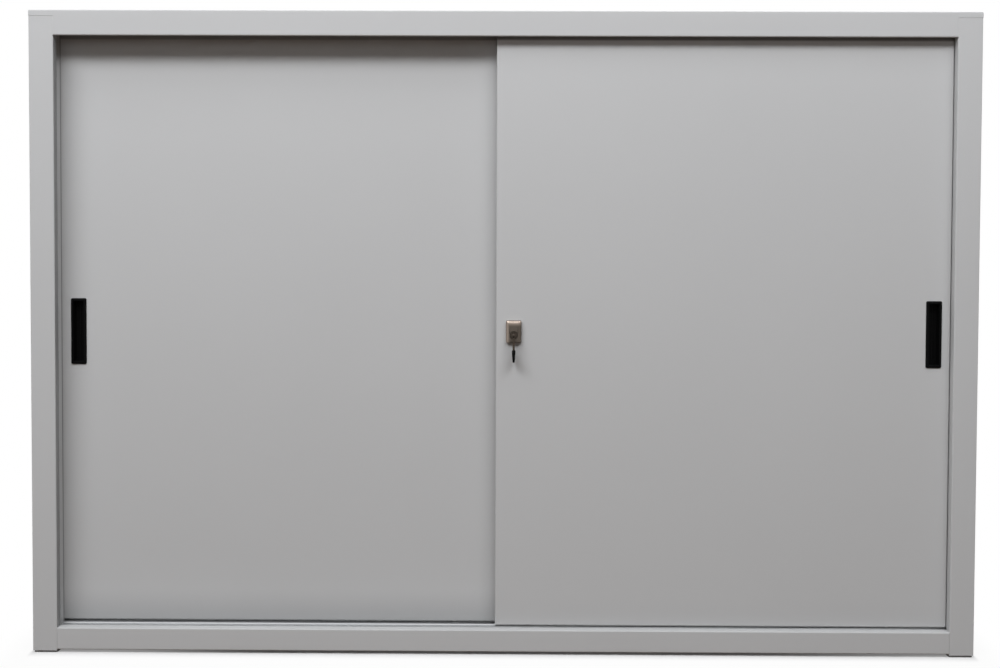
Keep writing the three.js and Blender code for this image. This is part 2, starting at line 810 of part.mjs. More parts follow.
// Lock plug, with its keyway and the square shank that turns the cam.
function makeLockPlug() {
  const plugBack = camFrontY - seatGap;
  const body = prism(circle(0, 0, plugRadius), "y", plugFrontY, plugBack);
  const shankBack = camFrontY + camThickness + seatGap;
  const shank = block(
    [-shankSize / 2, plugBack - overrun, -shankSize / 2],
    [shankSize / 2, shankBack, shankSize / 2],
  );
  const keywayX = bladeThickness / 2 + keyPlay;
  const keywayZ = bladeHeight / 2 + keyPlay;
  const keyway = block(
    [-keywayX, plugFrontY - overrun, -keywayZ],
    [keywayX, plugFrontY + bladeInside + keyPlay, keywayZ],
  );
  return body.add(shank).subtract(keyway);
}

// Cam behind the front door: it points along +X when unlocked.
function makeLockCam() {
  const tipX = camLength - camTip / 2;
  const outline = [
    ...arc(0, 0, camWidth / 2, Math.PI / 2, (3 * Math.PI) / 2, roundSides / 2),
    ...arc(tipX, 0, camTip / 2, -Math.PI / 2, Math.PI / 2, roundSides / 2),
  ];
  const plate = prism(outline, "y", camFrontY, camFrontY + camThickness);
  const holeHalf = shankSize / 2 + seatGap;
  const hole = block(
    [-holeHalf, camFrontY - overrun, -holeHalf],
    [holeHalf, camFrontY + camThickness + overrun, holeHalf],
  );
  return plate.subtract(hole);
}

// Keeper on the rear door's face, in that door's frame: a lug beside the locked cam.
function makeKeeper() {
  const doorMiddle = (rearDoorLeft + rearDoorRight) / 2;
  const right = lockX - camWidth / 2 - keeperPlay - doorMiddle;
  const low = handleRaise - doorBottomZ + camWidth / 2 + keeperPlay;
  const footBack = skinY - seatGap;
  const lug = block(
    [right - keeperWidth, skinY - doorGap + keeperClearance, low],
    [right, footBack, low + keeperHeight],
  );
  const foot = block([right - keeperFoot, footBack - keeperSheet, low], [right, footBack, low + keeperHeight]);
  return lug.add(foot);
}

// Key blade from the fold pin: in the plug, with its bitting, its rounded end and the pin.
function makeKeyBlade() {
  const half = bladeHeight / 2;
  const tip = plugFrontY + bladeInside - pinY;
  const shoulder = plugFrontY - pinY;
  const pitch = (bladeInside - half) / bladeNotchCount;
  const notches = Array.from({ length: bladeNotchCount }, (_, i) => {
    const start = shoulder + pitch * (i + 1 / 4);
    return [
      [start, -half],
      [start + bladeNotch / 2, bladeNotch - half],
      [start + pitch / 2, bladeNotch - half],
      [start + pitch / 2 + bladeNotch / 2, -half],
    ];
  }).flat();
  const outline = [
    ...arc(0, 0, half, Math.PI / 2, (3 * Math.PI) / 2, roundSides / 2),
    ...notches,
    [tip - half, -half],
    [tip, 0],
    [tip - half, half],
  ];
  const blade = prism(outline, "x", -bladeThickness / 2, bladeThickness / 2);
  const pinEnd = bladeThickness / 2 + keyPlay + forkSheet;
  return blade.add(prism(circle(0, 0, pinRadius, axleSides), "x", -pinEnd, pinEnd));
}

// Fork that folds on the key's pin, hanging down at rest.
function makeKeyShank() {
  const half = bladeHeight / 2;
  const innerX = bladeThickness / 2 + keyPlay;
  const outerX = innerX + forkSheet;
  const outline = [
    ...arc(0, 0, half, 0, Math.PI, roundSides / 2),
    [-half, -forkLength],
    [half, -forkLength],
  ];
  const bar = prism(outline, "x", -outerX, outerX);
  const slotLow = -half - keyPlay;
  const slot = block([-innerX, -half - overrun, slotLow], [innerX, half + overrun, half + overrun]);
  const hole = prism(circle(0, 0, pinRadius + keyPlay, axleSides), "x", -outerX - overrun, outerX + overrun);
  return cut(bar, [slot, hole]);
}

// Plastic grip moulded round the fork's end, with an eyelet.
function makeKeyGrip() {
  const topZ = gripOverlap - forkLength;
  const lowZ = topZ - gripLength;
  const shape = rounded([-gripWidth / 2, lowZ], [gripWidth / 2, topZ], gripCorner);
  const body = prism(shape, "x", -gripThickness / 2, gripThickness / 2, gripEase);
  const socketX = bladeThickness / 2 + keyPlay + forkSheet + seatGap;
  const socketY = bladeHeight / 2 + seatGap;
  const socket = block(
    [-socketX, -socketY, -forkLength - seatGap],
    [socketX, socketY, topZ + overrun],
  );
  const eyelet = prism(
    circle(0, lowZ + eyeletInset, eyeletRadius, axleSides),
    "x", -gripThickness, gripThickness,
  );
  return cut(body, [socket, eyelet]);
}

// Finishes: colour, roughness and metalness.
const FINISHES = {
  greyPaint: [0xc4c4c1, 0.55, 0],
  zincSteel: [0xb4b5b6, 0.4, 0.9],
  aluminium: [0xc2c3c4, 0.35, 0.9],
  nickel: [0xb9b4ac, 0.22, 1],
  blackPlastic: [0x131314, 0.5, 0],
  greyPlastic: [0x3a3b3c, 0.6, 0],
  whiteNylon: [0xe4e2dc, 0.5, 0],
};

// Adds one named piece to a group, at a place in that group's frame.
function addPiece(group, name, body, finish, place = [0, 0, 0]) {
  const [color, roughness, metalness] = FINISHES[finish];
  const material = new THREE.MeshStandardMaterial({ color, roughness, metalness });
  const mesh = new THREE.Mesh(geometryOf(body), material);
  mesh.name = name;
  mesh.position.set(...place);
  group.add(mesh);
}

function addGroup(parent, place) {
  const group = new THREE.Group();
  group.position.set(...place);
  parent.add(group);
  return group;
}

// Adds the same right-hand piece to the carcass at both sides.
function addPair(group, name, body, finish) {
  addPiece(group, `left_${name}`, mirrored(body), finish);
  addPiece(group, `right_${name}`, body, finish);
}

function addCarcass(cabinet) {
  const carcass = addGroup(cabinet, [0, 0, 0]);
  addPiece(carcass, "top_panel", makeTopPanel(), "greyPaint");
  addPair(carcass, "side_panel", makeSidePanel(), "greyPaint");
  addPiece(carcass, "bottom_panel", makeBottomPanel(), "greyPaint");
  addPair(carcass, "back_panel", makeBackPanel(), "greyPaint");
  addPiece(carcass, "center_partition", makePartition(), "greyPaint");
  addPiece(carcass, "top_track", makeTopTrack(), "zincSteel");
  addPiece(carcass, "bottom_track", makeBottomTrack(), "aluminium");
  addPair(carcass, "front_foot", makeFoot(shellFrontY, postBackY), "greyPlastic");
  const rearFootY = liningBackY - (postBackY - shellFrontY);
  addPair(carcass, "rear_foot", makeFoot(rearFootY, liningBackY), "greyPlastic");
  ["front", "rear"].forEach((row, i) => {
    addPair(carcass, `${row}_upright`, makeUpright(slotColumns[i]), "greyPaint");
  });
  ["lower", "upper"].forEach((level, l) => {
    addPair(carcass, `${level}_shelf`, makeShelf(shelfSlots[l]), "greyPaint");
    ["front", "rear"].forEach((row, i) => {
      const clip = makeWallClip(shelfSlots[l], slotColumns[i]);
      addPair(carcass, `${level}_${row}_clip`, clip, "zincSteel");
      const middleClip = makePartitionClip(shelfSlots[l], slotColumns[i]);
      addPiece(carcass, `center_${level}_${row}_clip`, middleClip, "zincSteel");
    });
  });
}

// Adds one door with its stiffener, handle, wheels, brackets and guides.
function addDoor(cabinet, name, left, right, laneY, handleWorldX, lockWorldX) {
  const doorWidth = right - left;
  const middle = (left + right) / 2;
  const door = addGroup(cabinet, [middle, laneY, doorBottomZ]);
  const handleZ = handleRaise - doorBottomZ;
  const lockAt = lockWorldX === null ? null : lockWorldX - middle;
  const handleAt = handleWorldX - middle;
  addPiece(door, `${name}_panel`, makeDoorPanel(doorWidth, handleAt, lockAt), "greyPaint");
  addPiece(door, `${name}_stiffener`, makeStiffener(), "greyPaint");
  addPiece(door, `${name}_handle`, makeHandle(), "blackPlastic", [handleAt, 0, handleZ]);
  ["left", "right"].forEach((side, i) => {
    const axlePlace = [rollerPlaces(doorWidth)[i], 0, axleRise];
    addPiece(door, `${name}_${side}_bracket`, makeRollerBracket(), "zincSteel", axlePlace);
    addPiece(door, `${name}_${side}_wheel`, makeWheel(), "whiteNylon", axlePlace);
    const guidePlace = [guidePlaces(doorWidth)[i], 0, 0];
    addPiece(door, `${name}_${side}_guide`, makeTopGuide(), "whiteNylon", guidePlace);
  });
  return door;
}

// Adds the lock and its folding key to the front door.
function addLock(door, lockAt) {
  const lock = addGroup(door, [lockAt, 0, handleRaise - doorBottomZ]);
  addPiece(lock, "lock_housing", makeLockHousing(), "nickel");
  addPiece(lock, "lock_nut", makeLockNut(), "zincSteel");
  addPiece(lock, "lock_plug", makeLockPlug(), "nickel");
  addPiece(lock, "lock_cam", makeLockCam(), "zincSteel");
  const key = addGroup(lock, [0, pinY, 0]);
  addPiece(key, "key_blade", makeKeyBlade(), "nickel");
  addPiece(key, "key_shank", makeKeyShank(), "nickel");
  addPiece(key, "key_grip", makeKeyGrip(), "blackPlastic");
}

function makeCabinet() {
  const cabinet = new THREE.Group();
  addCarcass(cabinet);
  const frontMiddle = (frontDoorLeft + frontDoorRight) / 2;
  const frontDoor = addDoor(
    cabinet, "front_door", frontDoorLeft, frontDoorRight, frontLaneY, handleX, lockX,
  );
  addLock(frontDoor, lockX - frontMiddle);
  const rearDoor = addDoor(
    cabinet, "rear_door", rearDoorLeft, rearDoorRight, rearLaneY, -handleX, null,
  );
  addPiece(rearDoor, "lock_keeper", makeKeeper(), "zincSteel");
  return cabinet;
}

export default makeCabinet();
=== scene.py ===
"""Looks of a sliding door cabinet in powder-coated steel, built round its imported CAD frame."""

import json

import bmesh
import bpy
import numpy as np
from mathutils import Matrix, Vector


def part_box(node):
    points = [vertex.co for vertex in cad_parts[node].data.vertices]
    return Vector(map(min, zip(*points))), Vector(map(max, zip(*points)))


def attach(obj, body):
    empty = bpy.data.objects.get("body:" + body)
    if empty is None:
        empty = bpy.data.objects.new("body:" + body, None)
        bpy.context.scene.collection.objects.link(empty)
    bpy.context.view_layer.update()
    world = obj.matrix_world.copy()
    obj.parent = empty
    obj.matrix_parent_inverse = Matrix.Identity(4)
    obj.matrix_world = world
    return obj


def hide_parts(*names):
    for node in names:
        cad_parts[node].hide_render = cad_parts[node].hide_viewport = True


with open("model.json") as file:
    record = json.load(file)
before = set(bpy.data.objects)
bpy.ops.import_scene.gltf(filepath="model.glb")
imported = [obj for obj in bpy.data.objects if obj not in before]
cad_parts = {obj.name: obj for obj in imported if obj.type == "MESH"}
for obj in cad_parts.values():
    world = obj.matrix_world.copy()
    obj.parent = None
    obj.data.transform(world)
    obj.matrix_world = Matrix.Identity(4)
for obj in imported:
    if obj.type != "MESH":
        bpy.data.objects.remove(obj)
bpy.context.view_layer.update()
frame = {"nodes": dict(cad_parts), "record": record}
scene = bpy.context.scene
scene.view_settings.view_transform = "Standard"
# The stage is in metres. After it a length times MM is in metres, and a bare one in millimetres.
MM = 0.001


# Stage: a pale floor in plain soft light. Two long lamps hang high in front, the left one stronger,
# so that the fascia and the posts throw soft shadows on the doors. Two weaker ones fill in from
# above and from low down, and one stands behind. The camera looks almost square at the front.
# The camera's place in metres, turns in radians, and lens and sensor in its own millimetres
CAMERA_PLACE = Vector((0.00857, -2.268, 0.5772))
CAMERA_PITCH, CAMERA_ROLL, CAMERA_YAW = 0.0318, 0.0041, -0.0068
CAMERA_LENS, CAMERA_SENSOR = 46.52, 36.0
# Each lamp's name, place and size in metres, and power in watts
LAMPS = [
    ("left_lamp", (-1.65, -2.6, 3.1), (2.6, 1.0), 88.0),
    ("right_lamp", (1.3, -2.6, 3.1), (2.3, 1.0), 59.5),
    ("top_lamp", (0.0, -1.3, 3.5), (4.0, 0.8), 26.0),
    ("low_lamp", (-0.8, -3.4, 1.5), (3.0, 1.0), 7.0),
    ("back_lamp", (0.6, 3.4, 1.2), (4.0, 0.8), 94.0),
]
LAMP_TARGET = Vector((0.0, 0.0, 0.75))
LAMP_COLOUR = (0.95, 0.972, 1.0)
ROOM_LIGHT = (0.02, 0.018, 0.016, 1.0)
WHITE = (1.0, 1.0, 1.0, 1.0)
FLOOR_COLOUR, FLOOR_BOUNCE = (0.80, 0.79, 0.78, 1.0), (0.17, 0.12, 0.085, 1.0)
FLOOR_REACH, FLOOR_CORNERS, FLOOR_ROUGHNESS = 30.0, 96, 0.9
# How white the camera sees the floor: hardly under the cabinet, a bit more towards the rail's two
# ends, which is painted light in the slit under the rail, nearly wholly past the cabinet's edges,
# most sharply at its sides, and wholly far away
FOOTPRINT, EDGE_STRETCH = (0.749, 0.215, 1.0), (5.0, 1.0, 1.0)
UNDER_WHITE, UNDER_LEFT, UNDER_RIGHT, UNDER_END_WHITE = 0.05, (-0.36, -0.66), (0.36, 0.80), 0.22
NEAR_REACH, NEAR_WHITE = 40.0 * MM, 0.92
FAR_REACH, FAR_WHITE = 400.0 * MM, 0.08
MERGED_WITHIN = 0.002 * MM


class Wire:
    """One output of a node. Arithmetic on it adds the Math nodes that work the result out."""

    def __init__(self, finish, socket):
        self.finish = finish
        self.socket = socket

    def math(self, operation, first, second):
        return self.finish.node("ShaderNodeMath", {"operation": operation}, {0: first, 1: second})

    def __add__(self, other):
        return self.math("ADD", self, other)

    def __sub__(self, other):
        return self.math("SUBTRACT", self, other)

    def __rsub__(self, other):
        return self.math("SUBTRACT", other, self)

    def __mul__(self, other):
        return self.math("MULTIPLY", self, other)

    def either(self, other):
        """The larger of two numbers."""
        return self.math("MAXIMUM", self, other)

    def eased(self, low, high):
        """Rises smoothly from 0 at a low value to 1 at a high one."""
        return self.finish.node(
            "ShaderNodeMapRange", {"interpolation_type": "SMOOTHSTEP"}, {0: self, 1: low, 2: high},
        )

    __radd__ = __add__
    __rmul__ = __mul__


class Finish:
    """The nodes of a material or of the world, added one by one to its shader."""

    def __init__(self, holder):
        holder.use_nodes = True
        self.holder = holder
        self.tree = holder.node_tree
        self.shader = next(n for n in self.tree.nodes if n.type in ("BSDF_PRINCIPLED", "BACKGROUND"))

    def set(self, socket, value):
        if isinstance(value, Wire):
            self.tree.links.new(value.socket, socket)
        else:
            socket.default_value = value

    def node(self, kind, settings, sockets, output=0):
        """A node of a kind: its settings first, then its sockets. Gives one of its outputs."""
        made = self.tree.nodes.new(kind)
        for name, value in settings.items():
            setattr(made, name, value)
        for name, value in sockets.items():
            self.set(made.inputs[name], value)
        return Wire(self, made.outputs[output])

    def vector(self, operation, *values, output="Vector"):
        sockets = dict(enumerate(values))
        return self.node("ShaderNodeVectorMath", {"operation": operation}, sockets, output)

    def scaled(self, colour, share):
        """A colour times a number."""
        return self.node("ShaderNodeVectorMath", {"operation": "SCALE"}, {0: colour, 3: share})

    def mixed(self, share, first, second):
        """The first colour where the share is 0, and the second where it is 1."""
        return self.node("ShaderNodeMix", {"data_type": "RGBA"}, {0: share, 6: first, 7: second}, 2)

    def place(self):
        """The place in the cabinet's own frame, in metres."""
        return self.node("ShaderNodeTexCoord", {}, {}, "Object")

    def along(self, axis):
        """The place along one axis of the cabinet's frame, in metres."""
        return self.node("ShaderNodeSeparateXYZ", {}, {0: self.place()}, axis)

    def seen(self):
        """1 for rays from the camera and for those by way of gloss or glass."""
        rays = [self.node("ShaderNodeLightPath", {}, {}, f"Is {ray} Ray")
                for ray in ("Camera", "Glossy", "Transmission")]
        return rays[0].either(rays[1]).either(rays[2])

    def shade(self, **sockets):
        """Sets the shader's sockets, named in lower case with underscores for spaces."""
        names = {socket.name.lower().replace(" ", "_"): socket for socket in self.shader.inputs}
        for name, value in sockets.items():
            self.set(names[name], value)


def linked(name, data):
    """A new object in the scene."""
    made = bpy.data.objects.new(name, data)
    scene.collection.objects.link(made)
    return made


def surface(name, grids, finish):
    """A mesh of grids of points [row, column, xyz]: quads join each row to the next and each
    column to the next, round to the first. Doubles are merged and the faces turned outwards."""
    start = 0
    points, faces = [], []
    for grid in grids:
        rows, columns = grid.shape[:2]
        index = start + np.arange(rows * columns).reshape(rows, columns)
        beside = np.roll(index, -1, axis=1)
        quads = np.stack([index[:-1], beside[:-1], beside[1:], index[1:]], axis=-1)
        points.append(grid.reshape(-1, 3))
        faces.append(quads.reshape(-1, 4))
        start += rows * columns
    mesh = bpy.data.meshes.new(name)
    mesh.from_pydata(np.concatenate(points).tolist(), [], np.concatenate(faces).tolist())
    form = bmesh.new()
    form.from_mesh(mesh)
    bmesh.ops.remove_doubles(form, verts=form.verts, dist=MERGED_WITHIN)
    bmesh.ops.recalc_face_normals(form, faces=form.faces)
    form.to_mesh(mesh)
    form.free()
    mesh.shade_smooth()
    mesh.materials.append(finish.holder)
    return linked(name, mesh)


camera = linked("camera", bpy.data.cameras.new("camera"))
camera.data.lens = CAMERA_LENS
camera.data.sensor_width = CAMERA_SENSOR
to_right, ahead, upward = (
    Matrix.Rotation(CAMERA_YAW, 3, "Z")
    @ Matrix.Rotation(CAMERA_ROLL, 3, "Y")
    @ Matrix.Rotation(CAMERA_PITCH, 3, "X")
)
camera.matrix_world = Matrix.LocRotScale(
    CAMERA_PLACE, Matrix((to_right, upward, -ahead)).transposed(), None
)
scene.camera = camera

for name, place, size, power in LAMPS:
    lamp = linked(name, bpy.data.lights.new(name, "AREA"))
    lamp.data.shape = "RECTANGLE"
    lamp.data.size, lamp.data.size_y = size
    lamp.data.energy = power
    lamp.data.color = LAMP_COLOUR
    aim = (LAMP_TARGET - Vector(place)).to_track_quat("-Z", "Y")
    lamp.matrix_world = Matrix.LocRotScale(Vector(place), aim, None)

scene.world = bpy.data.worlds.new("room")
room = Finish(scene.world)
room.shade(color=room.mixed(room.seen(), ROOM_LIGHT, WHITE))

pale_floor = Finish(bpy.data.materials.new("pale_floor"))
floor_seen = pale_floor.seen()
pale_floor.shade(
    base_color=pale_floor.mixed(floor_seen, FLOOR_BOUNCE, FLOOR_COLOUR),
    roughness=FLOOR_ROUGHNESS,
    specular_ior_level=0.0,
)
past_edge = pale_floor.vector("SUBTRACT", pale_floor.vector("ABSOLUTE", pale_floor.place()), FOOTPRINT)
past_edge = pale_floor.vector("MAXIMUM", past_edge, (0.0, 0.0, 0.0))
past_edge = pale_floor.vector("MULTIPLY", past_edge, EDGE_STRETCH)
away = pale_floor.vector("LENGTH", past_edge, output="Value")
sideways = pale_floor.along("X")
# Painted light in the slit under the rail, rising towards its two ends
under_ends = sideways.eased(*UNDER_LEFT).either(sideways.eased(*UNDER_RIGHT))
under_share = UNDER_WHITE + UNDER_END_WHITE * under_ends
white_share = (NEAR_WHITE * away.eased(0.0, NEAR_REACH)).either(under_share)
white_share = white_share + FAR_WHITE * away.eased(0.0, FAR_REACH)
pale_floor.set(
    pale_floor.tree.nodes["Material Output"].inputs["Surface"],
    pale_floor.node("ShaderNodeMixShader", {}, {
        0: floor_seen * white_share,
        1: Wire(pale_floor, pale_floor.shader.outputs[0]),
        2: pale_floor.node("ShaderNodeEmission", {}, {"Color": WHITE, "Strength": 1.0}),
    }),
)
floor_angle = np.linspace(0.0, 2.0 * np.pi, FLOOR_CORNERS, endpoint=False)
floor_radius = np.array([[0.0], [FLOOR_REACH]])
floor_x, floor_y = floor_radius * np.cos(floor_angle), floor_radius * np.sin(floor_angle)
floor_grid = np.stack([floor_x, floor_y, np.zeros_like(floor_x)], axis=-1)
floor = surface("floor", [floor_grid], pale_floor)


# Carcass: lid, sides, floor, back and middle partition, each folded from 1 mm steel sheet, spot
# welded and powder coated light grey. The coat is satin, with a fine orange peel, and large sheets
# aren't quite flat. Below the lid's skirt the sides with their posts and the rail are flush with it.
PAINT_COLOUR = (0.545, 0.545, 0.545)
PAINT_TONE, PAINT_CLOUDS = 0.02, 4.0
PAINT_ROUGHNESS, PAINT_SMUDGES = (0.44, 0.54), 60.0
PAINT_SPECULAR = 0.25
PEEL_WAVES, PEEL_HEIGHT = 650.0, 0.010 * MM
SWELL_WAVES, SWELL_HEIGHT = 2.6, 0.35 * MM
# Painted shade: the left post's inner cheek is darkened by a share where it turns back from the post's
# face
CHEEK_SIDE, CHEEK_DEPTH, CHEEK_SHADE = (-715.0 * MM, -714.0 * MM), (-224.5 * MM, -222.0 * MM), 0.5
SHEET_EDGE, EDGE_ROWS = 0.22 * MM, 2
FLAT_WITHIN, SMOOTH_BELOW = np.radians(0.5), np.radians(35.0)
# A band is two heights where the sheet is cut, so that a step between them is sharp
LID_LAP, LAP_BAND = 1.3 * MM, (1010.2 * MM, 1010.3 * MM)
LOW_WELD_BAND, HIGH_WELD_BAND = (40.5 * MM, 40.8 * MM), (979.7 * MM, 980.0 * MM)
FLUSH_BEYOND, TURNED_OUT, TURNED_FORWARD = (746.6 * MM, 221.6 * MM), 0.1, -0.2
OPENING, END_GAP = 711.0 * MM, 0.5 * MM
BEND, BENT_FORWARD = 2.1 * MM, -0.05
CHEEK_BACK, CHEEK_END, CHEEK_TURN = -209.5 * MM, -187.0 * MM, 11.0 * MM
RETURN_FROM, RETURN_BELOW, RETURN_RAISE = -214.0 * MM, 990.0 * MM, 6.0 * MM
RETURN_HALF = OPENING + 1.0 * MM
RAIL_BELOW, RAIL_DROP = 12.0 * MM, 1.2 * MM

nodes_of = frame["record"]["behaviour"]["bodies"]
body_of = {node: body for body, nodes in nodes_of.items() for node in nodes}


def corners(node):
    """The low and the high corner of a CAD node."""
    return np.array([list(corner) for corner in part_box(node)])


def noise(finish, waves, detail=2.0, stretch=(1.0, 1.0, 1.0)):
    """Noise from 0 to 1 in the cabinet's own frame, with so many waves a metre."""
    place = finish.node("ShaderNodeMapping", {}, {"Vector": finish.place(), "Scale": stretch})
    return finish.node("ShaderNodeTexNoise", {}, {"Vector": place, "Scale": waves, "Detail": detail})


def between(levels, mask):
    """The first level where the mask is 0, and the second where it is 1."""
    low, high = levels
    return low + (high - low) * mask


def toned(finish, colour, mask, spread):
    """A colour that gets darker and lighter by a share of itself as a mask goes from 0 to 1."""
    dark, light = (tuple(c * (1.0 + side * spread) for c in colour) + (1.0,) for side in (-1, 1))
    return finish.mixed(mask, dark, light)


def relief(finish, height):
    """The normal of a surface whose height is given in metres."""
    return finish.node("ShaderNodeBump", {}, {"Strength": 1.0, "Distance": 1.0, "Height": height})


def coated(name, share):
    """The powder coat, its colour times a share that is worked out from the finish."""
    coat = Finish(bpy.data.materials.new(name))
    colour = toned(coat, PAINT_COLOUR, noise(coat, PAINT_CLOUDS, 3.0), PAINT_TONE)
    peel = PEEL_HEIGHT * noise(coat, PEEL_WAVES, 1.0)
    swell = SWELL_HEIGHT * noise(coat, SWELL_WAVES, 0.0)
    coat.shade(
        base_color=coat.scaled(colour, share(coat)),
        roughness=between(PAINT_ROUGHNESS, noise(coat, PAINT_SMUDGES, 4.0)),
        normal=relief(coat, peel + swell),
        specular_ior_level=PAINT_SPECULAR,
    )
    return coat


def cheek_shaded(coat):
    """1 less the painted shade on the left post's inner cheek, beside the rear door."""
    return 1.0 - CHEEK_SHADE * coat.along("X").eased(*CHEEK_SIDE) * coat.along("Y").eased(*CHEEK_DEPTH)


paint = coated("grey_powder_coat", lambda coat: 1.0)
# The left side panel's coat, with painted shade on its inner cheek
cheek_shaded_paint = coated("rubbed_grey_powder_coat", cheek_shaded)


def sliced(form, axis, *places):
    """Cuts the faces along planes square to an axis, so that the vertices there can be moved."""
    normal = np.eye(3)["xyz".index(axis)]
    for place in places:
        everything = form.verts[:] + form.edges[:] + form.faces[:]
        bmesh.ops.bisect_plane(form, geom=everything, plane_co=normal * place, plane_no=normal)
    form.normal_update()


def middle_of(band):
    """The height halfway up a band."""
    return sum(band) / 2


def flush(form):
    """Moves the outer faces below the lid's skirt out by the lid's lap, sideways and forwards."""
    sliced(form, "z", *LAP_BAND)
    side_beyond, front_beyond = FLUSH_BEYOND
    low_enough = [v for v in form.verts if v.co.z < middle_of(LAP_BAND)]
    outwards = [v for v in low_enough if abs(v.co.x) > side_beyond and v.normal.x * v.co.x > TURNED_OUT]
    forwards = [v for v in low_enough if -v.co.y > front_beyond and v.normal.y < TURNED_FORWARD]
    for vert in outwards:
        vert.co.x += np.sign(vert.co.x) * LID_LAP
    for vert in forwards:
        vert.co.y -= LID_LAP


def closed_ends(form):
    """Lets the ends of the rail or the fascia touch the posts."""
    for vert in form.verts:
        if 0.0 < OPENING - abs(vert.co.x) < END_GAP and vert.co.y < CHEEK_BACK:
            vert.co.x = np.sign(vert.co.x) * OPENING


def rail(form):
    """Makes the rail flush, closes its ends and lowers its lower edge a little."""
    flush(form)
    closed_ends(form)
    for vert in form.verts:
        if vert.co.z < RAIL_BELOW and vert.co.y < CHEEK_BACK:
            vert.co.z -= RAIL_DROP


def post(form):
    """Makes the post flush, fills its inner bend with weld beside the rail and the fascia, and
    turns its cheek outwards behind the front lane, as much as it goes back."""
    flush(form)
    sliced(form, "z", *LOW_WELD_BAND, *HIGH_WELD_BAND)
    sliced(form, "y", CHEEK_BACK)
    front = corners("top_panel")[0, 1]
    for vert in form.verts:
        into_post = abs(vert.co.x) - OPENING
        beside_rail = vert.co.z < middle_of(LOW_WELD_BAND)
        beside_fascia = middle_of(HIGH_WELD_BAND) < vert.co.z < middle_of(LAP_BAND)
        in_bend = into_post < BEND and vert.co.y < front + 2.0 * BEND and vert.normal.y < BENT_FORWARD
        if in_bend and (beside_rail or beside_fascia):
            vert.co.y = front
        if into_post < 2.0 * BEND and CHEEK_BACK < vert.co.y < CHEEK_END + BEND:
            share = (vert.co.y - CHEEK_BACK) / (CHEEK_END - CHEEK_BACK)
            vert.co.x += np.sign(vert.co.x) * CHEEK_TURN * share


def lid(form):
    """Raises the rear of the fascia's return, so that a shadow lies between it and the doors."""
    closed_ends(form)
    for vert in form.verts:
        if vert.co.z < RETURN_BELOW and vert.co.y > RETURN_FROM and abs(vert.co.x) < RETURN_HALF:
            vert.co.z += RETURN_RAISE


def shaded_even(piece):
    """Flat faces stay flat beside rounded edges, and edges over the smooth limit stay sharp."""
    piece.data.set_sharp_from_angle(angle=SMOOTH_BELOW)
    even = piece.modifiers.new("even", "WEIGHTED_NORMAL")
    even.keep_sharp = True


def carried(piece, node):
    """The piece is shaded evenly and rides with the body of the node that it replaces, which is hidden.
    """
    shaded_even(piece)
    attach(piece, body_of[node])
    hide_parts(node)


def dressed(node, finish, edge=SHEET_EDGE, reshape=None):
    """A copy of a CAD node with its triangles joined to whole faces, its bends shaded smooth and
    its cut edges rounded by a small radius."""
    mesh = frame["nodes"][node].data.copy()
    mesh.name = f"{node}_form"
    form = bmesh.new()
    form.from_mesh(mesh)
    bmesh.ops.remove_doubles(form, verts=form.verts, dist=MERGED_WITHIN)
    bmesh.ops.dissolve_limit(form, angle_limit=FLAT_WITHIN, verts=form.verts, edges=form.edges)
    if reshape:
        reshape(form)
    form.to_mesh(mesh)
    form.free()
    if "custom_normal" in mesh.attributes:
        mesh.attributes.remove(mesh.attributes["custom_normal"])
    mesh.shade_smooth()
    mesh.materials.clear()
    mesh.materials.append(finish.holder)
    piece = linked(f"{node}_form", mesh)
    round_off = piece.modifiers.new("round_off", "BEVEL")
    round_off.width = edge
    round_off.segments = EDGE_ROWS
    round_off.limit_method = "ANGLE"
    round_off.angle_limit = SMOOTH_BELOW
    carried(piece, node)


dressed("top_panel", paint, reshape=lid)
dressed("bottom_panel", paint, reshape=rail)
for side, coat in (("left", cheek_shaded_paint), ("right", paint)):
    dressed(f"{side}_side_panel", coat, reshape=post)
    dressed(f"{side}_back_panel", paint)
dressed("center_partition", paint)


# Back rivets: domed heads in rows up the sides, up the middle and along the floor's flange. They
# are plain zinc-plated steel, set after the coat.
ZINC_COLOUR = (0.52, 0.53, 0.55)
ZINC_TONE, ZINC_FLAKES = 0.10, 420.0
ZINC_ROUGHNESS, ZINC_BLOOM = (0.34, 0.48), 500.0
ZINC_GRAIN, ZINC_GRAIN_HEIGHT = 900.0, 0.006 * MM
RIVET_RADIUS, RIVET_RISE, RIVET_ROWS, RIVET_COLUMNS = 4.0, 1.1, 5, 16
RIVET_SIDE_X, RIVET_MIDDLE_X, RIVET_FLOOR_Z = 738.0 * MM, 10.5 * MM, 32.0 * MM
RIVET_HEIGHTS = np.linspace(75.0, 975.0, 6) * MM
RIVET_FLOOR_PLACES = np.linspace(110.0, 640.0, 5) * MM
# The two axes across a turned or lofted piece, and the one along it
AXES = {"x": (1, 2, 0), "y": (0, 2, 1), "z": (0, 1, 2)}

zinc = Finish(bpy.data.materials.new("zinc_plated_steel"))
flakes = zinc.node("ShaderNodeTexVoronoi", {}, {"Vector": zinc.place(), "Scale": ZINC_FLAKES}, "Color")
flake_tone = zinc.node("ShaderNodeSeparateColor", {}, {0: flakes})
zinc.shade(
    base_color=toned(zinc, ZINC_COLOUR, flake_tone, ZINC_TONE),
    metallic=1.0,
    roughness=between(ZINC_ROUGHNESS, noise(zinc, ZINC_BLOOM)),
    normal=relief(zinc, ZINC_GRAIN_HEIGHT * noise(zinc, ZINC_GRAIN)),
)


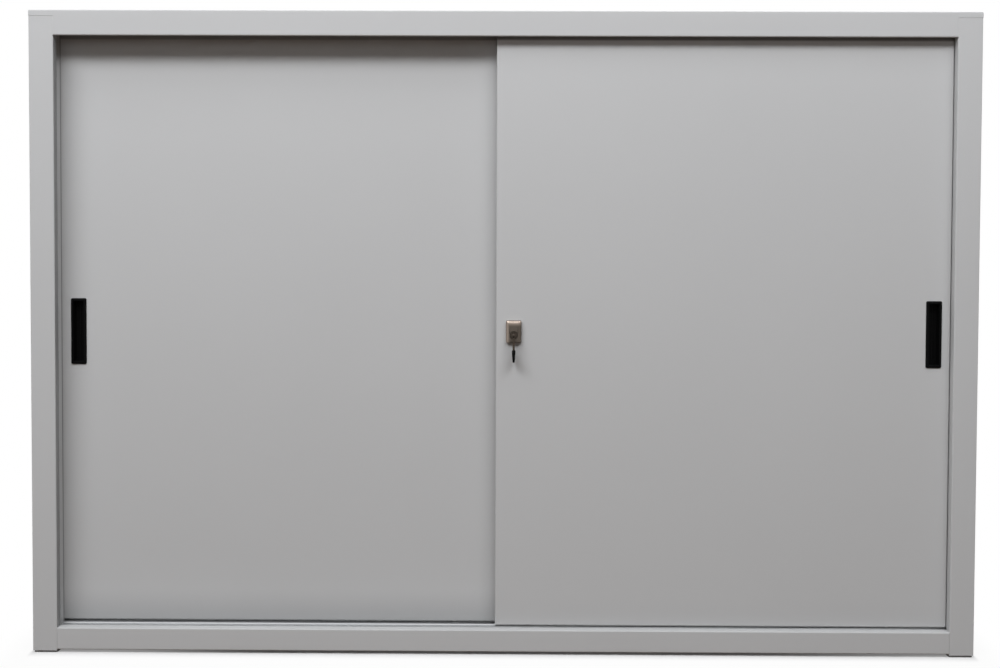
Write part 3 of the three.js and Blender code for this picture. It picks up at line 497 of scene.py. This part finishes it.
def rings(rows, centre, axis, columns=64):
    """Grid of rounded rectangles [half width, half height, corner radius, distance, shift] in
    millimetres, one a row: a point is a half size less the radius, to its side, plus the radius
    times the cosine or sine of its angle. The shift moves a ring up."""
    half_u, half_v, radius, distance, shift = (column[:, None] for column in np.asarray(rows, float).T)
    angle = (np.arange(columns) + 0.5) * 2.0 * np.pi / columns
    cosine, sine = np.cos(angle), np.sin(angle)
    u, v, w = AXES[axis]
    grid = np.empty((len(rows), columns, 3))
    grid[..., u] = np.sign(cosine) * (half_u - radius) + radius * cosine
    grid[..., v] = np.sign(sine) * (half_v - radius) + radius * sine + shift
    grid[..., w] = distance
    return grid * MM + np.asarray(centre)


def round_rows(profile):
    """Rows of circles from a profile of [radius, distance]."""
    return [(radius, radius, radius, distance, 0.0) for radius, distance in profile]


dome = np.linspace(0.0, np.pi / 2, RIVET_ROWS)
rivet_rows = round_rows([
    (0.0, 0.0), *zip(RIVET_RADIUS * np.cos(dome), RIVET_RISE * np.sin(dome)),
])
back_face = corners("left_back_panel")[1, 1]
rivet_places = [
    *[(side * x, z) for side in (-1, 1) for x in (RIVET_MIDDLE_X, RIVET_SIDE_X) for z in RIVET_HEIGHTS],
    *[(side * x, RIVET_FLOOR_Z) for side in (-1, 1) for x in RIVET_FLOOR_PLACES],
]
rivets = surface("back_rivets", [
    rings(rivet_rows, (x, back_face, z), "y", RIVET_COLUMNS) for x, z in rivet_places
], zinc)
shaded_even(rivets)
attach(rivets, "carcass")


# Tracks: the upper one is zinc-plated strip rolled into a double channel, and the lower one an
# aluminium strip extruded with a rib for each door's wheels, dull and marked along its length.
ALUMINIUM_COLOUR, ALUMINIUM_TONE = (0.37, 0.375, 0.38), 0.06
ALUMINIUM_ROUGHNESS = (0.42, 0.58)
DIE_LINES, DIE_STRETCH, DIE_HEIGHT = 2400.0, (0.004, 1.0, 1.0), 0.004 * MM
STRIP_EDGE = 0.15 * MM

aluminium = Finish(bpy.data.materials.new("extruded_aluminium"))
die_lines = noise(aluminium, DIE_LINES, 3.0, DIE_STRETCH)
aluminium.shade(
    base_color=toned(aluminium, ALUMINIUM_COLOUR, die_lines, ALUMINIUM_TONE),
    metallic=1.0,
    roughness=between(ALUMINIUM_ROUGHNESS, die_lines),
    normal=relief(aluminium, DIE_HEIGHT * die_lines),
)
dressed("top_track", zinc, STRIP_EDGE)
dressed("bottom_track", aluminium, STRIP_EDGE)


# Uprights, shelves and clips: slotted hat sections spot welded to the side walls, shelves folded
# as pans, both powder coated, and bent clips of zinc-plated strip that carry the shelves.
for side in ("left", "right"):
    for row in ("front", "rear"):
        dressed(f"{side}_{row}_upright", paint)
    for level in ("lower", "upper"):
        dressed(f"{side}_{level}_shelf", paint)
for column in ("left", "right", "center"):
    for level in ("lower", "upper"):
        for row in ("front", "rear"):
            dressed(f"{column}_{level}_{row}_clip", zinc, STRIP_EDGE)


# Feet: grey plastic plugs pushed up into the posts, with a thin base that lifts the steel off the
# floor.
FOOT_COLOUR, FOOT_TONE, FOOT_CLOUDS = (0.16, 0.16, 0.158), 0.05, 90.0
FOOT_ROUGHNESS, FOOT_SMUDGES = (0.45, 0.55), 500.0
FOOT_GRAIN, FOOT_GRAIN_HEIGHT = 1600.0, 0.01 * MM
FOOT_EDGE = 0.4 * MM

grey_plastic = Finish(bpy.data.materials.new("grey_plastic"))
grey_plastic.shade(
    base_color=toned(grey_plastic, FOOT_COLOUR, noise(grey_plastic, FOOT_CLOUDS), FOOT_TONE),
    roughness=between(FOOT_ROUGHNESS, noise(grey_plastic, FOOT_SMUDGES)),
    normal=relief(grey_plastic, FOOT_GRAIN_HEIGHT * noise(grey_plastic, FOOT_GRAIN)),
)
for side in ("left", "right"):
    for row in ("front", "rear"):
        dressed(f"{side}_{row}_foot", grey_plastic, FOOT_EDGE)


# Doors: folded pans of the same sheet and coat, each with a hat section glued down the middle of
# its back so that the skin doesn't drum, and a slot punched for its handle. Their coat is darkened
# by painted shade along the lower edge, and by a painted shadow of the fascia along the upper one.
REACH = {"front_door": 3.2 * MM, "rear_door": 2.0 * MM}
REACH_FROM = 700.0 * MM
SLOT_HALF = (11.0 * MM, 52.0 * MM)
HANDLE_SHIFT = {"front_door": (-1.8, 0.0, 3.4), "rear_door": (0.0, 0.0, 2.8)}
# Shares of painted shade on the front door, and how much more or less of it the rear door has
REAR_LANE = (-200.0 * MM, -190.0 * MM)
LOW_SHADE_HEIGHTS, LOW_SHADE, REAR_LOW_SHADE = (38.0 * MM, 100.0 * MM), 0.06, 0.22
TOP_SHADOW_HEIGHTS, REAR_RAISE = (975.5 * MM, 979.5 * MM), 4.0 * MM
TOP_SHADOW, REAR_TOP_SHADOW = 0.665, -0.17


def edge_shaded(coat):
    """1 less the painted shade along the lower edge, times 1 less the painted shadow along the upper
    one.
    """
    height, rear = coat.along("Z"), coat.along("Y").eased(*REAR_LANE)
    low_shade = (LOW_SHADE + REAR_LOW_SHADE * rear) * (1.0 - height.eased(*LOW_SHADE_HEIGHTS))
    top_shadow = (TOP_SHADOW + REAR_TOP_SHADOW * rear) * (height - REAR_RAISE * rear).eased(*TOP_SHADOW_HEIGHTS)
    return (1.0 - low_shade) * (1.0 - top_shadow)


def tucked(form, door):
    """Lengthens the door beside its post, and shifts the handle's slot."""
    slot_middle = corners(f"{door}_handle").mean(axis=0)
    for vert in form.verts:
        if abs(vert.co.x) > REACH_FROM:
            vert.co.x += np.sign(vert.co.x) * REACH[door]
        beside, above = abs(vert.co.x - slot_middle[0]), abs(vert.co.z - slot_middle[2])
        if beside < SLOT_HALF[0] and above < SLOT_HALF[1]:
            vert.co += Vector(HANDLE_SHIFT[door]) * MM


# The doors' coat, with painted shade along their lower edges and a painted shadow along their upper ones
door_paint = coated("soiled_grey_powder_coat", edge_shaded)
for door in REACH:
    dressed(f"{door}_panel", door_paint, reshape=lambda form: tucked(form, door))
    dressed(f"{door}_stiffener", paint)


# Running gear: a zinc-plated bracket with its axle is riveted over each of two slots in a door's
# lower edge. A turned nylon wheel with a groove and hollowed sides runs in it, and two nylon
# guides stand on the door's upper edge.
NYLON_COLOUR, NYLON_TONE, NYLON_CLOUDS = (0.72, 0.715, 0.68), 0.03, 90.0
NYLON_ROUGHNESS, NYLON_SMUDGES = (0.38, 0.48), 300.0
NYLON_DEPTH, NYLON_DEPTH_SHARE = (2.0 * MM, 2.0 * MM, 1.5 * MM), 0.15
BRACKET_EDGE, GUIDE_EDGE = 0.2 * MM, 0.3 * MM
# Half of the wheel's outline in [radius, distance], from the bore over the side to the groove
WHEEL_HALF = [
    (3.3, 3.2), (3.6, 3.5), (5.3, 3.5), (5.6, 3.3), (5.9, 2.7), (6.3, 2.5), (9.3, 2.5), (9.7, 2.7),
    (10.0, 3.3), (10.3, 3.5), (11.9, 3.5), (12.2, 3.35), (12.3, 3.1), (12.3, 2.35), (12.15, 2.15),
    (11.15, 1.8), (11.0, 1.55),
]

nylon = Finish(bpy.data.materials.new("white_nylon"))
nylon.shade(
    base_color=toned(nylon, NYLON_COLOUR, noise(nylon, NYLON_CLOUDS), NYLON_TONE),
    roughness=between(NYLON_ROUGHNESS, noise(nylon, NYLON_SMUDGES)),
    subsurface_weight=NYLON_DEPTH_SHARE,
    subsurface_radius=NYLON_DEPTH,
)
wheel_front = [(radius, -distance) for radius, distance in WHEEL_HALF]
wheel_rows = round_rows([*wheel_front, *reversed(WHEEL_HALF), wheel_front[0]])
for door in ("front_door", "rear_door"):
    for side in ("left", "right"):
        dressed(f"{door}_{side}_bracket", zinc, BRACKET_EDGE)
        dressed(f"{door}_{side}_guide", nylon, GUIDE_EDGE)
        node = f"{door}_{side}_wheel"
        wheel = rings(wheel_rows, corners(node).mean(axis=0), "y")
        carried(surface(f"{node}_form", [wheel], nylon), node)


# Handles: a black cup moulded in one with a crowned bezel, and snapped into a slot in the door.
# Three low ribs run up the cup's floor.
BLACK_COLOUR, BLACK_TONE, BLACK_CLOUDS = (0.0035, 0.0035, 0.0036), 0.15, 30.0
BLACK_ROUGHNESS, BLACK_SMUDGES = (0.42, 0.54), 700.0
BLACK_GRAIN, BLACK_GRAIN_HEIGHT = 1600.0, 0.012 * MM
BLACK_SPECULAR = 0.03
HANDLE_HALF, BEZEL_CORNER, CROWN_CORNER = (12.5, 53.2), 2.5, 2.0
CUP_OUTSIDE, CUP_INSIDE = 3.3, 4.3
BEZEL_BACK, BEZEL_EDGE, BEZEL_RISE, BEZEL_WIDTH = -9.3, 0.3, 2.3, 3.4
BEZEL_FRONT = BEZEL_BACK - BEZEL_EDGE - BEZEL_RISE
CUP_BACK, CUP_FLOOR = 3.0, 1.8
RIB_PLACES, RIB_HALF, RIB_RISE, RIB_COLUMNS = (-4.0, 0.0, 4.0), (0.6, 44.0), 0.7, 24

black_plastic = Finish(bpy.data.materials.new("black_plastic"))
black_plastic.shade(
    base_color=toned(black_plastic, BLACK_COLOUR, noise(black_plastic, BLACK_CLOUDS), BLACK_TONE),
    roughness=between(BLACK_ROUGHNESS, noise(black_plastic, BLACK_SMUDGES)),
    normal=relief(black_plastic, BLACK_GRAIN_HEIGHT * noise(black_plastic, BLACK_GRAIN)),
    specular_ior_level=BLACK_SPECULAR,
)


def handle_row(inset, corner, distance):
    """One rounded rectangle of a handle, set in from its outline."""
    return (HANDLE_HALF[0] - inset, HANDLE_HALF[1] - inset, corner, distance, 0.0)


def crown_row(angle):
    """One of the bezel's rows, up a quarter of an ellipse from its rim to its crown."""
    inwards = 1.0 - np.cos(angle)
    return handle_row(BEZEL_WIDTH * inwards, between((BEZEL_CORNER, CROWN_CORNER), inwards),
                      BEZEL_BACK - BEZEL_EDGE - BEZEL_RISE * np.sin(angle))


# From the middle of the cup's back out over its side and the bezel, and in to its floor
handle_rows = [
    (0.0, 0.0, 0.0, CUP_BACK, 0.0),
    handle_row(CUP_OUTSIDE + 0.6, 2.0, CUP_BACK),
    handle_row(CUP_OUTSIDE + 0.2, 2.4, CUP_BACK - 0.2),
    handle_row(CUP_OUTSIDE, BEZEL_CORNER, CUP_BACK - 0.6),
    handle_row(CUP_OUTSIDE, BEZEL_CORNER, BEZEL_BACK),
    handle_row(0.0, BEZEL_CORNER, BEZEL_BACK),
    *[crown_row(angle) for angle in np.linspace(0.0, np.pi / 2, 8)],
    handle_row(3.9, 1.9, BEZEL_FRONT + 0.15),
    handle_row(CUP_INSIDE, 1.8, BEZEL_FRONT + 0.8),
    handle_row(CUP_INSIDE + 0.4, 1.8, CUP_FLOOR - 1.0),
    handle_row(CUP_INSIDE + 0.7, 1.7, CUP_FLOOR - 0.3),
    handle_row(CUP_INSIDE + 1.3, 1.4, CUP_FLOOR),
    (0.0, 0.0, 0.0, CUP_FLOOR, 0.0),
]
rib_rows = [
    (*RIB_HALF, RIB_HALF[0], CUP_FLOOR + 0.2, 0.0),
    (*RIB_HALF, RIB_HALF[0], CUP_FLOOR - RIB_RISE / 2, 0.0),
    (RIB_HALF[0] - 0.2, RIB_HALF[1] - 0.2, RIB_HALF[0] - 0.2, CUP_FLOOR - RIB_RISE, 0.0),
    (0.0, RIB_HALF[1] - 0.6, 0.0, CUP_FLOOR - RIB_RISE, 0.0),
]
for door, shift in HANDLE_SHIFT.items():
    node = f"{door}_handle"
    middle = corners(node).mean(axis=0) + np.array(shift) * MM
    middle[1] = corners(node)[1, 1] - CUP_BACK * MM
    ribs = [rings(rib_rows, middle + np.array([x * MM, 0.0, 0.0]), "y", RIB_COLUMNS) for x in RIB_PLACES]
    carried(surface(f"{node}_form", [rings(handle_rows, middle, "y"), *ribs], black_plastic), node)


# Lock: a die-cast housing with a domed head and a threaded barrel through the front door, held by
# a nut behind it. The plug turns in it and carries the cam, and a keeper stands on the rear door.
# Housing and plug are dark nickel. The housing carries a painted highlight along the head's left and
# upper edges, and painted shade elsewhere.
NICKEL_COLOUR, NICKEL_TONE, NICKEL_CLOUDS = (0.052, 0.042, 0.034), 0.08, 220.0
NICKEL_ROUGHNESS, NICKEL_SMUDGES = (0.26, 0.36), 700.0
BRUSH_WAVES, BRUSH_STRETCH, BRUSH_HEIGHT = 900.0, (1.0, 1.0, 0.15), 0.003 * MM
# The housing's darker colour is painted shade, and its lighter one a painted highlight
SHADED_NICKEL_COLOUR, HIGHLIT_NICKEL_COLOUR = (0.090, 0.075, 0.062, 1.0), (0.27, 0.22, 0.185, 1.0)
# From the lock's middle
HIGHLIGHT_LEFT, HIGHLIGHT_UPPER = (-10.9 * MM, -5.9 * MM), (13.0 * MM, 21.0 * MM)
HEAD_HALF, HEAD_CORNERS, HEAD_SHIFT, HEAD_ROWS = (12.3, 17.9), (3.0, 1.4), 5.6, 9
HEAD_BACK, HEAD_FRONT, HEAD_SLOPE, HEAD_RISE = -9.3, -17.3, 6.0, 3.6
BARREL_BACK, BARREL_RADIUS, BORE_RADIUS = 8.7, 9.0, 6.3
THREAD_PITCH, THREAD_DEPTH, THREAD_ENDS = 1.0, 0.5, (0.4, 0.6)
PLUG_FRONT, PLUG_BACK, PLUG_END = -17.9, 9.5, 11.6
KEYWAY_HALF, KEYWAY_END = (1.1, 3.8), -1.6
LOCK_STEEL_EDGE = 0.25 * MM

plug_low, plug_high = corners("lock_plug")
lock_middle = (plug_low + plug_high) / 2
lock_middle[1] = plug_high[1] - PLUG_END * MM


def plated(name, colour):
    """Dark nickel plating in a colour that is worked out from the finish."""
    plate = Finish(bpy.data.materials.new(name))
    plate.shade(
        base_color=colour(plate),
        metallic=1.0,
        roughness=between(NICKEL_ROUGHNESS, noise(plate, NICKEL_SMUDGES)),
        normal=relief(plate, BRUSH_HEIGHT * noise(plate, BRUSH_WAVES, 3.0, BRUSH_STRETCH)),
    )
    return plate


def highlit(plate):
    """Painted highlight along the head's left and upper edges, and painted shade elsewhere."""
    left = 1.0 - (plate.along("X") - lock_middle[0]).eased(*HIGHLIGHT_LEFT)
    upper = (plate.along("Z") - lock_middle[2]).eased(*HIGHLIGHT_UPPER)
    return plate.mixed(left.either(upper), SHADED_NICKEL_COLOUR, HIGHLIT_NICKEL_COLOUR)


def head_row(inset, corner, distance):
    """One rounded rectangle of the lock's head, set in from its outline."""
    return (HEAD_HALF[0] - inset, HEAD_HALF[1] - inset, corner, distance, HEAD_SHIFT)


def dome_row(angle):
    """One of the head's rows, up a quarter of an ellipse from its side to its face."""
    inwards = 1.0 - np.cos(angle)
    return head_row(HEAD_SLOPE * inwards, between(HEAD_CORNERS, inwards),
                    HEAD_FRONT + HEAD_RISE * (1.0 - np.sin(angle)))


nickel = plated("dark_nickel", lambda plate: toned(
    plate, NICKEL_COLOUR, noise(plate, NICKEL_CLOUDS), NICKEL_TONE,
))
worn_nickel = plated("worn_nickel", highlit)

# The thread's radius rises and falls once a pitch, in four steps
thread_steps = np.arange(0.0, BARREL_BACK - HEAD_BACK - sum(THREAD_ENDS), THREAD_PITCH / 4)
thread_radii = BARREL_RADIUS - 2.0 * THREAD_DEPTH * np.abs(thread_steps / THREAD_PITCH % 1.0 - 0.5)
thread = zip(thread_radii, BARREL_BACK - THREAD_ENDS[0] - thread_steps)
# From the bore's front end back through it, forward along the thread, and over the head to the bore
housing_rows = [
    *round_rows([(BORE_RADIUS, HEAD_FRONT + 0.6), (BORE_RADIUS, BARREL_BACK),
                 (BARREL_RADIUS - 0.6, BARREL_BACK), *thread, (BARREL_RADIUS, HEAD_BACK)]),
    head_row(0.0, 2.2, HEAD_BACK),
    *[dome_row(angle) for angle in np.linspace(0.0, np.pi / 2, HEAD_ROWS)],
    *round_rows([(7.3, HEAD_FRONT), (6.9, HEAD_FRONT - 0.15), (6.6, HEAD_FRONT - 0.1),
                 (BORE_RADIUS, HEAD_FRONT + 0.6)]),
]
# From the keyway's end out to the face, over its ring, and back along the side to the square
plug_rows = [
    (0.0, 0.0, 0.0, KEYWAY_END, 0.0),
    (*KEYWAY_HALF, 0.3, KEYWAY_END, 0.0),
    (*KEYWAY_HALF, 0.3, PLUG_FRONT + 0.3, 0.0),
    (KEYWAY_HALF[0] + 0.2, KEYWAY_HALF[1] + 0.2, 0.4, PLUG_FRONT, 0.0),
    *round_rows([(4.7, PLUG_FRONT), (4.8, PLUG_FRONT + 0.15), (5.0, PLUG_FRONT + 0.15),
                 (5.1, PLUG_FRONT), (5.6, PLUG_FRONT), (5.85, PLUG_FRONT + 0.1),
                 (6.0, PLUG_FRONT + 0.4), (6.0, PLUG_BACK)]),
    (3.0, 3.0, 0.3, PLUG_BACK, 0.0),
    (3.0, 3.0, 0.3, PLUG_END - 0.3, 0.0),
    (2.7, 2.7, 0.2, PLUG_END, 0.0),
    (0.0, 0.0, 0.0, PLUG_END, 0.0),
]
for node, rows, finish in (
    ("lock_housing", housing_rows, worn_nickel),
    ("lock_plug", plug_rows, nickel),
):
    carried(surface(f"{node}_form", [rings(rows, lock_middle, "y")], finish), node)
for node in ("lock_nut", "lock_cam", "lock_keeper"):
    dressed(node, zinc, LOCK_STEEL_EDGE)


# Key: a flat blade in the plug, a fork that folds on the blade's pin, and a black grip moulded
# round the fork, thinner towards its eyelet end.
GRIP_HALF, GRIP_CORNER, GRIP_EDGE, GRIP_ROWS = (9.0, 10.0), 5.0, 1.6, 11
GRIP_THICK, GRIP_THIN, GRIP_TAPER = 3.0, 1.5, 0.7
EYELET_RADIUS, EYELET_SHIFT = 2.5, -4.0
# How much wider the eyelet gets towards a face, at a share of the grip's half thickness
EYELET_FLARE = [(0.0, -0.7), (0.2, -0.93), (0.6, -1.0)]


def eyelet_row(flare, share):
    """One circle of the eyelet, wider by its flare."""
    radius = EYELET_RADIUS + flare
    return (radius, radius, radius, share, EYELET_SHIFT)


def edge_row(angle):
    """One rounded rectangle round the grip's edge, on half an ellipse from face to face."""
    inset = GRIP_EDGE * (1.0 - np.cos(angle))
    return (GRIP_HALF[0] - inset, GRIP_HALF[1] - inset, GRIP_CORNER - inset, np.sin(angle), 0.0)


for node in ("key_blade", "key_shank"):
    dressed(node, nickel, STRIP_EDGE)

# From the eyelet over one face, round the edge, over the other face and back through the eyelet.
# A row's distance is a share of the grip's half thickness until the grip is tapered.
grip_rows = [
    *[eyelet_row(flare, share) for flare, share in EYELET_FLARE],
    *[edge_row(angle) for angle in np.linspace(-np.pi / 2, np.pi / 2, GRIP_ROWS)],
    *[eyelet_row(flare, -share) for flare, share in reversed(EYELET_FLARE)],
    eyelet_row(*EYELET_FLARE[0]),
]
grip_low, grip_high = corners("key_grip")
grip_middle = (grip_low + grip_high) / 2
grip = rings(grip_rows, (0.0, *grip_middle[1:]), "x")
up_the_grip = (grip[..., 2] - grip_low[2]) / (grip_high[2] - grip_low[2])
grip[..., 0] *= between((GRIP_THIN, GRIP_THICK), up_the_grip.clip(0.0, 1.0) ** GRIP_TAPER)
grip[..., 0] += grip_middle[0]
carried(surface("key_grip_form", [grip], black_plastic), "key_grip")
